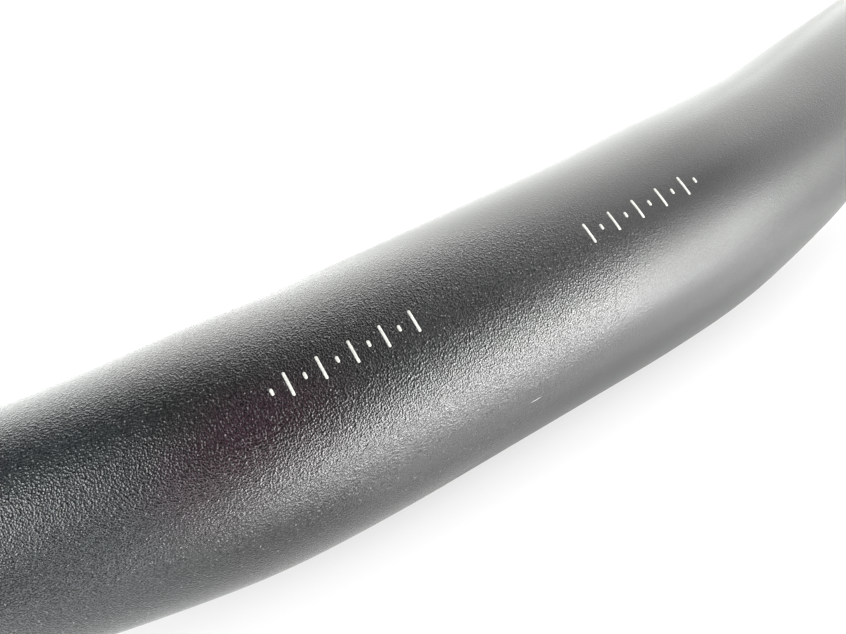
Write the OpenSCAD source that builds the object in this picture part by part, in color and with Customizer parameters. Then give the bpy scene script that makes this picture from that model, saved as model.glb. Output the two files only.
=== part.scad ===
// Riser handlebar of a mountain bike: one aluminium tube, widest where the stem clamps it,
// bent up and swaged down to the grip diameter on each side, then swept back to the grips.
// Built as it rides, with X along the bar, Y to the rear and Z up, and laid down at the end
// the way it comes to rest on a table: on the underside of the clamp zone and both bar ends.

/* [Overall] */
// Width of the bar from end to end
bar_width = 685; // [640:5:780]

/* [Clamp zone] */
// Outer diameter where the stem clamps
clamp_d = 31.8; // [30:0.1:35]
// Wall thickness in the clamp zone
clamp_wall = 2.5; // [2:0.1:4]
// Straight length in the middle of the clamp zone
clamp_straight = 30; // [20:1:50]
// Length over which the full clamp diameter is kept
clamp_zone = 60; // [54:1:76]

/* [Rise] */
// Centreline radius of the gentle bend that leads out of the clamp
lead_radius = 280; // [240:5:360]
// Angle that the gentle bend turns
lead_angle = 7.75; // [6:0.05:9]
// Centreline radius of the tighter bend into the rising leg
rise_radius = 95; // [80:1:140]
// Angle that the tighter bend turns
rise_angle = 5.15; // [3:0.05:7]
// Length over which the tube narrows from the clamp to the grip diameter
taper_length = 71; // [60:1:100]
// Length of the soft run-in and run-out of the taper
taper_blend = 11; // [5:1:20]

/* [Sweep] */
// Centreline radius of the bend from the rising leg into the grip
sweep_radius = 100; // [60:5:160]
// Angle of the grips towards the rider, seen from above
backsweep = 9; // [6:0.5:12]
// Angle of the grips above level, seen from the front
upsweep = 5; // [3:0.5:7]

/* [Grips] */
// Outer diameter where grips and levers clamp
grip_d = 22.2; // [22:0.1:24]
// Wall thickness of the grip length
grip_wall = 1.9; // [1.5:0.1:3]
// Edge break at the open bar ends
end_chamfer = 0.5; // [0.2:0.1:0.8]

/* [Alignment marks] */
// Long marks on each side of the middle, each with a short one after it
mark_count = 5; // [3:1:5]
// Distance from the middle to the first long mark
mark_first = 12.3; // [10:0.1:13]
// Distance from one long mark to the next
mark_pitch = 3.8; // [3:0.1:3.8]
// Height of a long mark around the tube
mark_height = 2.85; // [2:0.05:5]
// Width of a long mark along the bar
mark_width = 0.33; // [0.25:0.01:0.6]
// Height of a short mark around the tube
dot_height = 0.8; // [0.5:0.05:1.5]
// Width of a short mark along the bar
dot_width = 0.36; // [0.25:0.01:0.6]
// Depth of the filled marks below the surface
mark_depth = 0.1; // [0.08:0.01:0.3]
// Angle of the marks above straight ahead
mark_tilt = 6; // [0:1:20]

/* [Hidden] */

// Facets around a lofted wing, and rings along its bends, its straight leg and its sweep
sides = 40;
bend_rings = 10;
leg_rings = 8;
sweep_rings = 8;
// How far a wing runs on around the round pieces at its ends, and how far its facets clear them
seat_length = 1;
seat_gap = 0.02;
// Spare length of the shapes that cut right through
spare = 1;
// Facets of round pieces
$fn = 96;

clamp_r = clamp_d / 2;
grip_r = grip_d / 2;
clamp_bore_r = clamp_r - clamp_wall;
grip_bore_r = grip_r - grip_wall;

// Distances along the centreline from the middle of the bar to where each stretch starts
lead_start = clamp_straight / 2;
lead_end = lead_start + arc_length(lead_radius, lead_angle);
rise_end = lead_end + arc_length(rise_radius, rise_angle);
wing_start = clamp_zone / 2;
taper_end = wing_start + taper_length;

// Axes that the bends turn about, and the turn from the rising leg into the grip
rise_axis = [0, -1, 0];
leg_way = turned([1, 0, 0], rise_axis, lead_angle + rise_angle);
grip_way = unit([1, tan(backsweep), tan(upsweep)]);
sweep_axis = unit(cross(leg_way, grip_way));
sweep_angle = acos(leg_way * grip_way);
wing_end = taper_end + arc_length(sweep_radius, sweep_angle);

// The grip's straight length, which fills the width that the wings leave
grip_start = pose_at(wing_end)[0];
rim_reach = grip_r * norm([grip_way.y, grip_way.z]);
grip_length = (bar_width / 2 - rim_reach - grip_start.x) / grip_way.x;
bar_end = grip_start + grip_length * grip_way;

// Roll about X that sets the clamp zone and both bar ends down on one level surface
lie_roll = acos((grip_r - clamp_r) / norm([bar_end.y, bar_end.z])) - atan2(bar_end.y, bar_end.z);

function unit(v) = v / norm(v);
function arc_length(radius, angle) = radius * angle * PI / 180;
function arc_angle(radius, length) = length / radius * 180 / PI;

// A direction turned about an axis by the right-hand rule
function turned(v, axis, angle) =
    v * cos(angle) + cross(axis, v) * sin(angle) + axis * (axis * v) * (1 - cos(angle));

// A pose is a point of the centreline, the way it runs there, and what is up across it
function ahead(pose, length) = [pose[0] + length * pose[1], pose[1], pose[2]];
function round_bend(pose, length, radius, axis) =
    let (angle = arc_angle(radius, length))
    [
        pose[0] + radius * ((1 - cos(angle)) * cross(axis, pose[1]) + sin(angle) * pose[1]),
        turned(pose[1], axis, angle),
        turned(pose[2], axis, angle)
    ];

// How much of the stretch between two distances has been passed at distance s
function passed(s, from, to) = min(max(s - from, 0), to - from);

// Pose at distance s from the middle of the bar, along its right half
function pose_at(s) =
    let (
        clamp = ahead([[0, 0, 0], [1, 0, 0], [0, 0, 1]], min(s, lead_start)),
        lead = round_bend(clamp, passed(s, lead_start, lead_end), lead_radius, rise_axis),
        rise = round_bend(lead, passed(s, lead_end, rise_end), rise_radius, rise_axis),
        leg = ahead(rise, passed(s, rise_end, taper_end)),
        sweep = round_bend(leg, passed(s, taper_end, wing_end), sweep_radius, sweep_axis)
    )
    ahead(sweep, max(s - wing_end, 0));

// Share of the taper that is done at part t of its length, with a soft start and finish
function taper_share(t) =
    let (soft = taper_blend / taper_length)
    t <= 0 ? 0
    : t < soft ? t * t / (2 * soft * (1 - soft))
    : t < 1 - soft ? (t - soft / 2) / (1 - soft)
    : t < 1 ? 1 - (1 - t) * (1 - t) / (2 * soft * (1 - soft))
    : 1;

// A radius at distance s that shrinks along the taper
function tapered(s, wide, narrow) =
    wide + (narrow - wide) * taper_share((s - wing_start) / taper_length);

// Corner radius of a ring whose facets clear a round surface
function around(radius) = (radius + seat_gap) / cos(180 / sides);

// Points of one ring, square to the centreline
function ring(s, radius) =
    let (pose = pose_at(s), across = cross(pose[1], pose[2]))
    [for (i = [0 : sides - 1])
        let (a = 360 * i / sides)
        pose[0] + radius * (cos(a) * pose[2] + sin(a) * across)];

// Distances of the rings between two stations, with the last one left out
function stations(from, to, count) = [for (k = [0 : count - 1]) from + (to - from) * k / count];

// Four-sided faces between two rings, which start at points number a and b
function band(a, b) =
    [for (i = [0 : sides - 1])
        let (j = (i + 1) % sides)
        [a + i, b + i, b + j, a + j]];

// Moves what starts at the origin and runs up Z, with its bends towards X, to a pose
module set_at(pose) {
    across = cross(pose[1], pose[2]);
    multmatrix([
        [pose[2].x, across.x, pose[1].x, pose[0].x],
        [pose[2].y, across.y, pose[1].y, pose[0].y],
        [pose[2].z, across.z, pose[1].z, pose[0].z]
    ]) children();
}

module both_sides() {
    children();
    mirror([1, 0, 0]) children();
}

// The full-diameter zone: its straight middle and the start of the gentle bend on each side
module clamp_tube(outer_r, bore_r) {
    rotate([0, 90, 0])
        difference() {
            cylinder(h = clamp_straight, r = outer_r, center = true);
            cylinder(h = clamp_straight + 2 * spare, r = bore_r, center = true);
        }
    both_sides()
        set_at(pose_at(lead_start))
            translate([lead_radius, 0, 0])
                rotate([90, 0, 180])
                    rotate_extrude(angle = arc_angle(lead_radius, wing_start - lead_start))
                        translate([lead_radius, 0])
                            difference() {
                                circle(outer_r);
                                circle(bore_r);
                            }
}

// A wing, lofted through rings that follow its bends while diameter and wall shrink
module wing() {
    rings = concat(
        stations(wing_start - seat_length, rise_end, bend_rings),
        stations(rise_end, taper_end, leg_rings),
        stations(taper_end, wing_end + seat_length, sweep_rings),
        [wing_end + seat_length]
    );
    last = (len(rings) - 1) * sides;
    bore = last + sides;
    outer_points = [for (s = rings) each ring(s, around(tapered(s, clamp_r, grip_r)))];
    bore_points = [for (s = rings) each ring(s, around(tapered(s, clamp_bore_r, grip_bore_r)))];
    polyhedron(concat(outer_points, bore_points), concat(
        [for (k = [0 : sides : last - sides]) each band(k, k + sides)],
        [for (k = [bore : sides : bore + last - sides]) each band(k + sides, k)],
        band(bore, 0),
        band(last, bore + last)
    ));
}

// A straight grip length with both edges broken at its open end
module grip_tube() {
    set_at(pose_at(wing_end))
        rotate_extrude()
            polygon([
                [grip_bore_r, 0],
                [grip_r, 0],
                [grip_r, grip_length - end_chamfer],
                [grip_r - end_chamfer, grip_length],
                [grip_bore_r + end_chamfer, grip_length],
                [grip_bore_r, grip_length - end_chamfer]
            ]);
}

// Outline of a mark with rounded ends
module mark_outline(width, height) {
    square([width, height - width], center = true);
    for (end = [-1, 1])
        translate([0, end * (height - width) / 2])
            circle(d = width);
}

// The straight rows of marks on each side of the middle, as bars that reach into the tube
module mark_rows(depth) {
    rotate([-mark_tilt, 0, 0])
        both_sides()
            for (i = [0 : mark_count - 1])
                translate([mark_first + i * mark_pitch, depth / 2 - clamp_r, 0])
                    rotate([90, 0, 0])
                        linear_extrude(depth) {
                            mark_outline(mark_width, mark_height);
                            translate([mark_pitch / 2, 0])
                                mark_outline(dot_width, dot_height);
                        }
}

// The bar laid down as it rests on a table
module lying() {
    rotate([-lie_roll, 0, 0]) children();
}

module handlebar() {
    color([0.13, 0.13, 0.14])
        lying()
            difference() {
                union() {
                    clamp_tube(clamp_r, clamp_bore_r);
                    both_sides() {
                        wing();
                        grip_tube();
                    }
                }
                intersection() {
                    clamp_tube(clamp_r + spare, clamp_r - mark_depth);
                    mark_rows(4 * spare);
                }
            }
}

module alignment_marks() {
    color([0.86, 0.86, 0.84])
        lying()
            intersection() {
                clamp_tube(clamp_r, clamp_r - mark_depth);
                mark_rows(4 * spare);
            }
}

handlebar();
alignment_marks();
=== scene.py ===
"""A black riser handlebar lying on a white table, seen close up from the front of its clamp zone."""

import math

import bpy
import numpy as np
from mathutils import Matrix, Vector


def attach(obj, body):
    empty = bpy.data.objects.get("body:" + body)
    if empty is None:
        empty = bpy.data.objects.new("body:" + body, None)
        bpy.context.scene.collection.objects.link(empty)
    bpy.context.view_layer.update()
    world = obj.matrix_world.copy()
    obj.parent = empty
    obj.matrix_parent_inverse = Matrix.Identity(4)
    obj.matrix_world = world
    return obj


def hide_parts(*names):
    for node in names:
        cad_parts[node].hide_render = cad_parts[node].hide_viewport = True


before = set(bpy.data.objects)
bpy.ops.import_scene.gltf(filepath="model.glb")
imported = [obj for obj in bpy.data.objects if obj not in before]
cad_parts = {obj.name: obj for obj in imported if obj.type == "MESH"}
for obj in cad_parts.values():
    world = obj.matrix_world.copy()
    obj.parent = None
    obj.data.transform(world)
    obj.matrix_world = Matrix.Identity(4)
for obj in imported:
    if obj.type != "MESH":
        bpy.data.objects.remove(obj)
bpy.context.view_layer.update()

MM = 0.001

# The bar's sizes, in millimetres and degrees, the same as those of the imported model
BAR_WIDTH = 685.0
CLAMP_R, CLAMP_BORE_R = 15.9, 13.4
GRIP_R, GRIP_BORE_R = 11.1, 9.2
CLAMP_STRAIGHT, CLAMP_ZONE = 30.0, 60.0
LEAD_RADIUS, LEAD_ANGLE = 280.0, 7.75
RISE_RADIUS, RISE_ANGLE = 95.0, 5.15
TAPER_LENGTH, TAPER_BLEND = 71.0, 11.0
SWEEP_RADIUS, BACKSWEEP, UPSWEEP = 100.0, 9.0, 5.0
END_CHAMFER = 0.5
MARK_COUNT, MARK_FIRST, MARK_PITCH, MARK_TILT = 5, 12.3, 3.8, 6.0
LONG_MARK, SHORT_MARK = (0.33, 2.85), (0.36, 0.8)

# How finely the tube is drawn: its sides, and the longest step along each stretch from the middle outwards
BAR_SIDES = 144
OUTER_STEPS = (3.0, 1.2, 0.8, 1.2, 0.8, 6.0)
BORE_STEPS = (7.5, 3.0, 3.0, 1.6, 12.0)

# How far the print's upper and under side lie above the tube, how finely a mark is drawn, and how many
# rounds it takes to place one of its points
PRINT_TOP, PRINT_UNDER = 0.012, -0.03
MARK_END_ANGLES = (10, 30, 50, 70)
MARK_STEPS = 12
PLACING_ROUNDS = 12


# Centreline

def unit(v):
    return np.asarray(v, float) / np.linalg.norm(v)


def turned(v, axis, angle):
    """A direction turned about an axis by the right-hand rule, in radians."""
    c, s = math.cos(angle), math.sin(angle)
    return v * c + np.cross(axis, v) * s + axis * np.dot(axis, v) * (1 - c)


def ahead(pose, length):
    return pose[0] + length * pose[1], pose[1], pose[2]


def round_bend(pose, length, radius, axis):
    """The pose at the end of a bend. A pose is a point, the centreline's way there, and up across it."""
    angle = length / radius
    point = pose[0] + radius * ((1 - math.cos(angle)) * np.cross(axis, pose[1]) + math.sin(angle) * pose[1])
    return point, turned(pose[1], axis, angle), turned(pose[2], axis, angle)


def passed(s, start, end):
    """How much of the stretch from start to end has been passed at distance s."""
    return min(max(s - start, 0.0), end - start)


RISE_AXIS = np.array([0.0, -1.0, 0.0])
LEAD_START = CLAMP_STRAIGHT / 2
LEAD_END = LEAD_START + LEAD_RADIUS * math.radians(LEAD_ANGLE)
RISE_END = LEAD_END + RISE_RADIUS * math.radians(RISE_ANGLE)
WING_START = CLAMP_ZONE / 2
TAPER_END = WING_START + TAPER_LENGTH
LEG_WAY = turned(np.array([1.0, 0, 0]), RISE_AXIS, math.radians(LEAD_ANGLE + RISE_ANGLE))
GRIP_WAY = unit([1, math.tan(math.radians(BACKSWEEP)), math.tan(math.radians(UPSWEEP))])
SWEEP_AXIS = unit(np.cross(LEG_WAY, GRIP_WAY))
SWEEP_END = TAPER_END + SWEEP_RADIUS * math.acos(float(np.dot(LEG_WAY, GRIP_WAY)))


def right_pose(s):
    """Pose at distance s from the middle along the right half, as the bar rides."""
    pose = ahead((np.zeros(3), np.array([1.0, 0, 0]), np.array([0, 0, 1.0])), min(s, LEAD_START))
    pose = round_bend(pose, passed(s, LEAD_START, LEAD_END), LEAD_RADIUS, RISE_AXIS)
    pose = round_bend(pose, passed(s, LEAD_END, RISE_END), RISE_RADIUS, RISE_AXIS)
    pose = ahead(pose, passed(s, RISE_END, TAPER_END))
    pose = round_bend(pose, passed(s, TAPER_END, SWEEP_END), SWEEP_RADIUS, SWEEP_AXIS)
    return ahead(pose, max(s - SWEEP_END, 0.0))


GRIP_START = right_pose(SWEEP_END)[0]
RIM_REACH = GRIP_R * math.hypot(GRIP_WAY[1], GRIP_WAY[2])
GRIP_LENGTH = (BAR_WIDTH / 2 - RIM_REACH - GRIP_START[0]) / GRIP_WAY[0]
HALF = SWEEP_END + GRIP_LENGTH

# The roll that lays the bar down on the clamp zone and both of its ends
BAR_END = right_pose(HALF)[0]
END_REACH = math.hypot(BAR_END[1], BAR_END[2])
LIE_ROLL = math.acos((GRIP_R - CLAMP_R) / END_REACH) - math.atan2(BAR_END[1], BAR_END[2])
LYING = np.array(Matrix.Rotation(-LIE_ROLL, 3, "X"))


def pose_at(s):
    """Point, up and across at signed distance s from the middle, laid down on the table."""
    point, way, up = right_pose(abs(s))
    across = np.cross(way, up)
    if s < 0:
        flip = np.array([-1.0, 1, 1])
        point, up, across = point * flip, up * flip, across * flip
    return LYING @ point, LYING @ up, LYING @ across


def taper_share(t):
    """How much of the taper is done at part t of its length, with a soft start and finish."""
    soft = TAPER_BLEND / TAPER_LENGTH
    if t <= 0:
        return 0.0
    if t < soft:
        return t * t / (2 * soft * (1 - soft))
    if t < 1 - soft:
        return (t - soft / 2) / (1 - soft)
    if t < 1:
        return 1 - (1 - t) ** 2 / (2 * soft * (1 - soft))
    return 1.0


def tapered(s, wide, narrow):
    return wide + (narrow - wide) * taper_share((abs(s) - WING_START) / TAPER_LENGTH)


def outer_r(s):
    return tapered(s, CLAMP_R, GRIP_R)


def bore_r(s):
    return tapered(s, CLAMP_BORE_R, GRIP_BORE_R)


# Pieces

def mesh_object(name, points, faces, sharp=()):
    """A smooth-shaded mesh from points in millimetres. sharp holds point pairs whose edges stay crisp."""
    mesh = bpy.data.meshes.new(name)
    mesh.from_pydata([tuple(p * MM) for p in points], [], faces)
    mesh.validate()
    mesh.shade_smooth()
    if sharp:
        wanted = {tuple(sorted(pair)) for pair in sharp}
        flags = mesh.attributes.new("sharp_edge", "BOOLEAN", "EDGE")
        for edge in mesh.edges:
            flags.data[edge.index].value = tuple(sorted(edge.vertices)) in wanted
    obj = bpy.data.objects.new(name, mesh)
    bpy.context.collection.objects.link(obj)
    return obj


def spaced(breaks, steps):
    """Distances from break to break, in even steps no longer than the one given for each stretch."""
    out = []
    for start, end, step in zip(breaks, breaks[1:], steps):
        count = max(1, math.ceil((end - start) / step))
        out += [start + (end - start) * i / count for i in range(count)]
    return out + [breaks[-1]]


def make_bar():
    """The whole tube as one skin: outside, both end rims with their edge breaks, and the bore."""
    edge_break = HALF - END_CHAMFER
    half_outer = spaced([0, LEAD_START, LEAD_END, RISE_END, TAPER_END, SWEEP_END, edge_break], OUTER_STEPS)
    half_bore = spaced([0, LEAD_START, RISE_END, TAPER_END, SWEEP_END, edge_break], BORE_STEPS)
    outer = [(s, outer_r(s)) for s in [-s for s in half_outer[:0:-1]] + half_outer]
    bore = [(s, bore_r(s)) for s in half_bore[::-1] + [-s for s in half_bore[1:]]]
    right_rim = [(HALF, GRIP_R - END_CHAMFER), (HALF, GRIP_BORE_R + END_CHAMFER)]
    left_rim = [(-HALF, r) for _, r in right_rim[::-1]]
    loops = outer + right_rim + bore + left_rim

    outer_end = len(outer)
    bore_start = outer_end + len(right_rim)
    bore_end = bore_start + len(bore)
    right_edges = {outer_end - 1, outer_end, outer_end + 1, bore_start}
    left_edges = {bore_end - 1, bore_end, bore_end + 1, 0}

    angles = np.arange(BAR_SIDES) * 2 * math.pi / BAR_SIDES
    points = []
    for s, r in loops:
        centre, up, across = pose_at(s)
        points += list(centre + r * (np.outer(np.cos(angles), up) + np.outer(np.sin(angles), across)))
    faces, sharp = [], []
    for k in range(len(loops)):
        a, b = k * BAR_SIDES, (k + 1) % len(loops) * BAR_SIDES
        for i in range(BAR_SIDES):
            j = (i + 1) % BAR_SIDES
            faces.append((a + i, a + j, b + j, b + i))
            if k in right_edges | left_edges:
                sharp.append((a + i, a + j))
    return mesh_object("bar_tube", points, faces, sharp)


def surface_point(x, height, lift):
    """The point of the clamp zone's outside at x along the bar and a height across the row of marks."""
    tilt = math.radians(MARK_TILT)
    level = np.array([0, math.sin(tilt), math.cos(tilt)])
    riding = LYING.T
    s, angle = x, math.pi / 2 - tilt
    for _ in range(PLACING_ROUNDS):
        centre, up, across = pose_at(s)
        point = riding @ (centre + CLAMP_R * (math.cos(angle) * up + math.sin(angle) * across))
        s += x - point[0]
        angle -= (height - float(np.dot(point, level))) / CLAMP_R
    centre, up, across = pose_at(s)
    return centre + (CLAMP_R + lift) * (math.cos(angle) * up + math.sin(angle) * across)


def mark_rungs(width, height):
    """Half widths and heights across a mark from its upper to its lower end, with both ends rounded."""
    r = width / 2
    straight = height / 2 - r
    bends = [math.radians(a) for a in MARK_END_ANGLES]
    upper = [(r * math.sin(a), straight + r * math.cos(a)) for a in bends]
    middle = [(r, straight - 2 * straight * k / MARK_STEPS) for k in range(MARK_STEPS + 1)]
    lower = [(half, -v) for half, v in upper[::-1]]
    return upper + middle + lower


def make_marks():
    """The printed rows as thin raised films with rounded ends that follow the tube."""
    rows = []
    for side in (-1, 1):
        for i in range(MARK_COUNT):
            x = side * (MARK_FIRST + i * MARK_PITCH)
            rows.append((x, LONG_MARK))
            rows.append((x + side * MARK_PITCH / 2, SHORT_MARK))
    points, faces = [], []
    for x, size in rows:
        rungs = mark_rungs(*size)
        first = len(points)
        layer = 2 * len(rungs)
        last = first + layer - 2
        for lift in (PRINT_TOP, PRINT_UNDER):
            for half, v in rungs:
                points += [surface_point(x - half, v, lift), surface_point(x + half, v, lift)]
        for k in range(first, last, 2):
            under = k + layer
            faces.append((k, k + 2, k + 3, k + 1))
            faces.append((under, under + 1, under + 3, under + 2))
            faces.append((k, under, under + 2, k + 2))
            faces.append((k + 1, k + 3, under + 3, under + 1))
        faces.append((first, first + 1, first + 1 + layer, first + layer))
        faces.append((last, last + layer, last + 1 + layer, last + 1))
    return mesh_object("printed_marks", points, faces)


bar = make_bar()
marks = make_marks()
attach(bar, "root")
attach(marks, "root")
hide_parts("handlebar")
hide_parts("alignment_marks")


# Materials, with lengths in millimetres and densities per metre

WHITE = (1, 1, 1, 1)

# The way towards the back and the right, and from where to where along it the finish turns calm
CALM_WAY = (0.288, 0.749, -0.597)
CALM_START, CALM_END = -14.5, -6.5

# Each of these holds for the finish at the front, and then for where it is calm
DENT_STRENGTH = (1.0, 0.32)
ROUGHNESS = (0.18, 0.37)
SPECK_STRENGTH = (1.0, 0.3)
# The share of painted glints: bright grey specks painted into the base colour in place of glints of light
PAINTED_GLINT_SHARE = (0.45, 0.0)

DENT_DENSITY, DENT_DEPTH = 4500.0, 0.047
SPECK_DENSITY, SPECK_LIMITS, SPECK_MIDDLE = 7500.0, (0.25, 0.75), 0.5
PLAIN_SHEEN, SPECK_ON_SHEEN, SPECK_ON_COLOUR = 0.5, 0.36, 1.8
# How dense the painted glints are, and the noise levels between which they fade in
GLINT_DENSITY, GLINT_LIMITS = 4600.0, (0.78, 0.83)

BLACK = (0.0034, 0.0036, 0.0039, 1)
WINE = (0.0085, 0.0024, 0.0050, 1)
BLUE_BLACK = (0.0070, 0.0084, 0.0100, 1)
# A light grey that serves for the one nick, which is real wear, and for the painted glints
GLINT_AND_NICK_GREY = (0.22, 0.22, 0.22, 1)

# Where the black is tinted, and the one nick
WINE_CENTRE, WINE_STRETCH, WINE_RADII = (-36.5, -12.2, 10.0), (0.45, 1.0, 1.0), (9.5, 2.0)
WINE_CLOUDS, WINE_CLOUD_LIMITS = 90.0, (0.15, 0.6)
BLUE_START, BLUE_END = -37.0, -50.0
NICK_CENTRE, NICK_STRETCH, NICK_RADII = (-2.35, -15.9, -0.45), (0.1, 1.0, 1.0), (0.1, 0.05)
NICK_SHARE = 0.6

PRINT_WORN, PRINT_WHOLE = (0.25, 0.245, 0.23, 1), (0.33, 0.33, 0.32, 1)
PRINT_DENSITY, PRINT_LIMITS = 4000.0, (0.3, 0.7)
PRINT_ROUGHNESS = 0.5

# The table is white. The camera sees it as a grey that glows, so that the bar's shadow comes out pale, and
# as plain white farther off. The bar mirrors it a little brighter than it is.
TABLE_WHITE, TABLE_SEEN = (0.9, 0.9, 0.9, 1), (0.31, 0.31, 0.31, 1)
TABLE_ROUGHNESS = 0.15
TABLE_MIRRORED_GLOW, TABLE_SEEN_GLOW, TABLE_FAR_GLOW = 0.14, 0.58, 1.0
TABLE_NEAR, TABLE_FAR = 400.0, 1200.0


def metres(*lengths):
    """Millimetres as the shaders see them."""
    return tuple(length * MM for length in lengths)


class Nodes:
    """Shorthand for building a material's node tree."""

    def __init__(self, name):
        self.material = bpy.data.materials.new(name)
        self.material.use_nodes = True
        self.tree = self.material.node_tree
        self.shader = self.tree.nodes["Principled BSDF"]

    def add(self, kind, settings=None, inputs=None):
        node = self.tree.nodes.new(kind)
        for key, value in (settings or {}).items():
            setattr(node, key, value)
        for key, value in (inputs or {}).items():
            self.put(value, node.inputs[key])
        return node

    def put(self, value, socket):
        if isinstance(value, bpy.types.NodeSocket):
            self.tree.links.new(value, socket)
        else:
            socket.default_value = value

    def place(self):
        return self.add("ShaderNodeTexCoord").outputs["Object"]

    def math(self, operation, a, b):
        return self.add("ShaderNodeMath", {"operation": operation}, {0: a, 1: b}).outputs[0]

    def vector_math(self, operation, a, b=(0, 0, 0)):
        return self.add("ShaderNodeVectorMath", {"operation": operation}, {0: a, 1: b}).outputs

    def ramp(self, value, start, end, low=0.0, high=1.0):
        """A soft step: low where value is at start or before, high where it is at end or beyond."""
        soft = {"interpolation_type": "SMOOTHSTEP"}
        limits = {"Value": value, "From Min": start, "From Max": end, "To Min": low, "To Max": high}
        return self.add("ShaderNodeMapRange", soft, limits).outputs["Result"]

    def mix(self, share, a, b):
        return self.add("ShaderNodeMix", {"data_type": "RGBA"}, {0: share, 6: a, 7: b}).outputs[2]

    def noise(self, where, density, detail, roughness=0.5):
        inputs = {"Vector": where, "Scale": density, "Detail": detail, "Roughness": roughness}
        return self.add("ShaderNodeTexNoise", {}, inputs).outputs["Fac"]

    def spot(self, where, centre, stretch, radii):
        """One inside a soft-edged ellipsoid and zero outside. stretch shrinks distances along each axis."""
        away = self.vector_math("SUBTRACT", where, metres(*centre))["Vector"]
        away = self.vector_math("MULTIPLY", away, stretch)["Vector"]
        return self.ramp(self.vector_math("LENGTH", away)["Value"], *metres(*radii))


def bar_material():
    """Satin black over a peened grain of round dents, with specks, tints, one nick and painted glints."""
    n = Nodes("peened_black")
    where = n.place()
    along = n.add("ShaderNodeSeparateXYZ", {}, {"Vector": where}).outputs["X"]
    calm = n.ramp(n.vector_math("DOT_PRODUCT", where, CALM_WAY)["Value"], *metres(CALM_START, CALM_END))

    cells = n.add("ShaderNodeTexVoronoi", {}, {"Vector": where, "Scale": DENT_DENSITY}).outputs["Distance"]
    dents = n.math("MULTIPLY", cells, cells)
    strength = n.ramp(calm, 0.0, 1.0, *DENT_STRENGTH)
    bump = n.add("ShaderNodeBump", {}, {"Strength": strength, "Distance": DENT_DEPTH * MM, "Height": dents})
    n.put(bump.outputs["Normal"], n.shader.inputs["Normal"])
    n.put(n.ramp(calm, 0.0, 1.0, *ROUGHNESS), n.shader.inputs["Roughness"])

    specks = n.ramp(n.noise(where, SPECK_DENSITY, detail=0.0), *SPECK_LIMITS)
    gleam = n.math("SUBTRACT", specks, SPECK_MIDDLE)
    gleam = n.math("MULTIPLY", gleam, n.ramp(calm, 0.0, 1.0, *SPECK_STRENGTH))
    sheen = n.math("ADD", n.math("MULTIPLY", gleam, SPECK_ON_SHEEN), PLAIN_SHEEN)
    n.put(sheen, n.shader.inputs["Specular IOR Level"])

    clouds = n.ramp(n.noise(where, WINE_CLOUDS, detail=2.0), *WINE_CLOUD_LIMITS)
    wine = n.math("MULTIPLY", n.spot(where, WINE_CENTRE, WINE_STRETCH, WINE_RADII), clouds)
    tint = n.mix(wine, BLACK, WINE)
    tint = n.mix(n.ramp(along, *metres(BLUE_START, BLUE_END)), tint, BLUE_BLACK)
    brightness = n.math("ADD", n.math("MULTIPLY", gleam, SPECK_ON_COLOUR), 1.0)
    speckled = n.add("ShaderNodeVectorMath", {"operation": "SCALE"}, {0: tint, "Scale": brightness})
    # Painted glints: bright grey specks painted into the black where the grain would catch glints of light,
    # with none where the finish is calm. The nick below is real wear and shares the same grey.
    painted_glints = n.ramp(n.noise(where, GLINT_DENSITY, detail=0.0), *GLINT_LIMITS)
    painted_glints = n.math("MULTIPLY", painted_glints, n.ramp(calm, 0.0, 1.0, *PAINTED_GLINT_SHARE))
    nick = n.math("MULTIPLY", n.spot(where, NICK_CENTRE, NICK_STRETCH, NICK_RADII), NICK_SHARE)
    colour = n.mix(n.math("MAXIMUM", painted_glints, nick), speckled.outputs["Vector"], GLINT_AND_NICK_GREY)
    n.put(colour, n.shader.inputs["Base Color"])
    return n.material


def mark_material():
    """White print that is worn a little thin in patches."""
    n = Nodes("white_print")
    whole = n.ramp(n.noise(n.place(), PRINT_DENSITY, detail=2.0, roughness=0.6), *PRINT_LIMITS)
    n.put(n.mix(whole, PRINT_WORN, PRINT_WHOLE), n.shader.inputs["Base Color"])
    n.put(PRINT_ROUGHNESS, n.shader.inputs["Roughness"])
    return n.material


def table_material():
    """A plain white table top, drawn apart for the camera and for what the bar mirrors."""
    n = Nodes("white_table")
    rays = n.add("ShaderNodeLightPath").outputs
    n.put(n.mix(rays["Is Camera Ray"], TABLE_WHITE, TABLE_SEEN), n.shader.inputs["Base Color"])
    n.put(TABLE_ROUGHNESS, n.shader.inputs["Roughness"])
    n.put(WHITE, n.shader.inputs["Emission Color"])
    away = n.vector_math("LENGTH", n.place())["Value"]
    glow = n.ramp(away, *metres(TABLE_NEAR, TABLE_FAR), TABLE_SEEN_GLOW, TABLE_FAR_GLOW)
    seen = n.math("MULTIPLY", rays["Is Camera Ray"], glow)
    mirrored = n.math("MULTIPLY", rays["Is Glossy Ray"], TABLE_MIRRORED_GLOW)
    n.put(n.math("ADD", mirrored, seen), n.shader.inputs["Emission Strength"])
    return n.material


bar.data.materials.append(bar_material())
marks.data.materials.append(mark_material())


# Table

TABLE_SIZE = 12.0
table_z = -CLAMP_R * MM
bpy.ops.mesh.primitive_plane_add(size=TABLE_SIZE, location=(0, 0, table_z))
table = bpy.context.object
table.name = "table"
table.data.materials.append(table_material())


# Light

WINDOW_COLOUR = (0.98, 1.0, 0.97)
TABLE_LIGHT_LIFT = 0.5


def area_light(name, where, look_at, size, radiance, colour=(1, 1, 1)):
    """A rectangle that lights without being seen itself. radiance is how bright it looks, white at 1."""
    data = bpy.data.lights.new(name, "AREA")
    data.shape = "RECTANGLE"
    data.size, data.size_y = size
    data.energy = radiance * math.pi * size[0] * size[1]
    data.color = colour
    light = bpy.data.objects.new(name, data)
    light.location = where
    light.rotation_euler = (Vector(look_at) - Vector(where)).to_track_quat("-Z", "Y").to_euler()
    light.visible_camera = False
    bpy.context.collection.objects.link(light)


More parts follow.
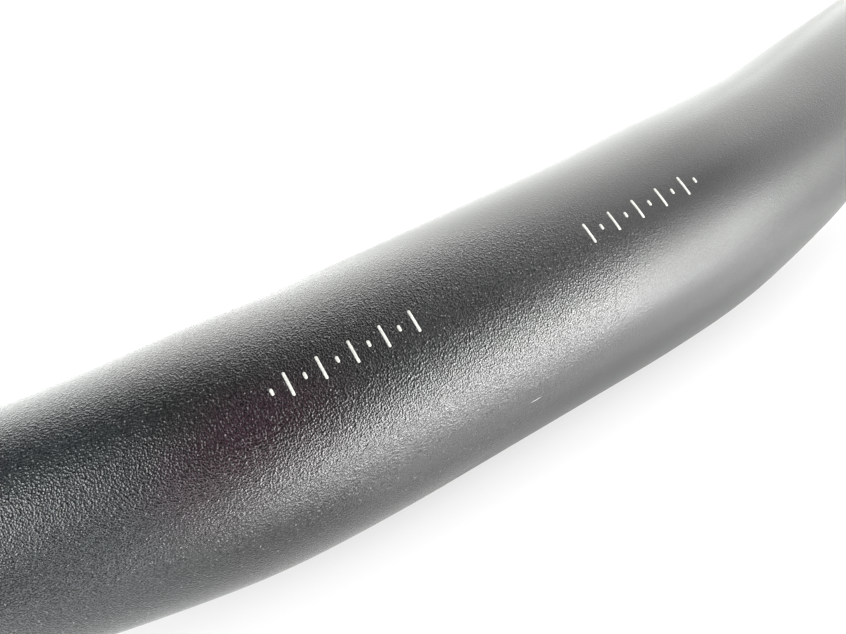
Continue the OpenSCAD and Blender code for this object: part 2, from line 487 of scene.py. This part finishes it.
def softbox(name, azimuth, elevation, width, height, radiance):
    """A soft light that faces the bar from a metre away, all in degrees."""
    a, e = math.radians(azimuth), math.radians(elevation)
    way = Vector((math.cos(a) * math.cos(e), math.sin(a) * math.cos(e), math.sin(e)))
    size = (2 * math.tan(math.radians(width / 2)) * math.cos(e), 2 * math.tan(math.radians(height / 2)))
    area_light(name, way, (0, 0, 0), size, radiance, WINDOW_COLOUR)


def table_light(name, x, y, width, depth, radiance):
    """Light thrown up by a bright part of the table, in millimetres."""
    where = (x * MM, y * MM, table_z + TABLE_LIGHT_LIFT * MM)
    area_light(name, where, (where[0], where[1], 1.0), (width * MM, depth * MM), radiance)


softbox("front_window", -60.5, 7.5, 39, 17.5, 14.9)
softbox("front_window_core", -66, 7.5, 18, 17.5, 5.7)
softbox("front_window_end", -37.5, 7.5, 7, 17.5, 20.0)
softbox("front_left", -98, 7.5, 34, 17.5, 3.1)
softbox("front_far_left", -127, 20, 26, 20, 3.3)
softbox("front_left_top", -128, 44, 28, 34, 0.6)
softbox("front_right", -20, 8, 28, 18, 2.1)
softbox("front_upper", -56, 26, 30, 17, 7.8)
softbox("front_upper_right", -28, 26, 30, 18, 2.2)
softbox("front_top", -45, 54, 30, 18, 4.1)
softbox("right_wall", 15, 17, 50, 33, 5.1)
softbox("back_wall", 66, 17, 52, 33, 4.8)
softbox("back_left", 107, 15, 30, 30, 4.2)
softbox("back_left_top", 110, 46, 30, 30, 1.8)
softbox("right_top", 10, 45, 46, 22, 4.2)
softbox("back_top", 66, 45, 66, 24, 5.3)
softbox("top", 30, 67, 80, 22, 2.3)
softbox("left_top", -160, 60, 50, 30, 0.9)
softbox("left_wall", 197, 33, 40, 34, 10.5)
table_light("table_far", 25, -108, 150, 48, 25.0)
table_light("table_near", 30, -68, 106, 32, 1.6)
table_light("table_near_left", -48, -68, 50, 32, 1.6)
table_light("table_edge", 30, -38, 110, 28, 2.0)


# World: white where the camera looks past the table, and faint as a light

ROOM_LIGHT, ROOM_SEEN = 0.12, 1.0

world = bpy.data.worlds.new("studio")
bpy.context.scene.world = world
world.use_nodes = True
tree = world.node_tree
camera_ray = tree.nodes.new("ShaderNodeLightPath").outputs["Is Camera Ray"]
strength = tree.nodes.new("ShaderNodeMapRange")
strength.inputs["To Min"].default_value = ROOM_LIGHT
strength.inputs["To Max"].default_value = ROOM_SEEN
tree.links.new(camera_ray, strength.inputs["Value"])
background = tree.nodes["Background"]
background.inputs["Color"].default_value = WHITE
tree.links.new(strength.outputs["Result"], background.inputs["Strength"])


# Camera, solved from the photo's outlines and marks

camera_data = bpy.data.cameras.new("camera")
camera_data.lens = 29.106
camera_data.sensor_width = 36.0
camera_data.clip_start = 0.005
camera_data.clip_end = 50.0
camera = bpy.data.objects.new("camera", camera_data)
camera.location = (-0.0330054, -0.0657989, 0.0583051)
camera.rotation_euler = (0.917181, 0.191829, -0.511720)
bpy.context.collection.objects.link(camera)
bpy.context.scene.camera = camera
bpy.context.scene.view_settings.view_transform = "Standard"
